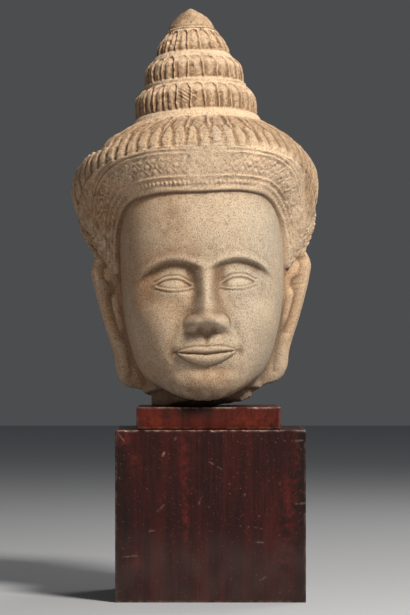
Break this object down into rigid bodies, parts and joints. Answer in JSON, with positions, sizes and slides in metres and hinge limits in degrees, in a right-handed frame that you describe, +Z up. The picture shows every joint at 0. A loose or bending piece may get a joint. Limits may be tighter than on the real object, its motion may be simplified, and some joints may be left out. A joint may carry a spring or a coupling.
{
  "type": "deity head sculpture",
  "caption": "Carved stone head with a tiered petal crown, diadem and long ears, resting on a two-step wooden plinth.",
  "frame": {"origin": "centre of the plinth's underside", "axes": "+Z up, from the plinth to the crown's tip; the face looks along -Y; +X is the viewer's right"},
  "size_m": [0.2103, 0.21, 0.494],
  "materials": {
    "stone": "worn, grainy sandstone",
    "cap_wood": "red stain under old varnish",
    "block_wood": "dark red-brown stain under old varnish"
  },
  "bodies": {
    "root": {"stone_head": "stone", "plinth_cap": "cap_wood", "plinth_block": "block_wood"}
  },
  "joints": []
}
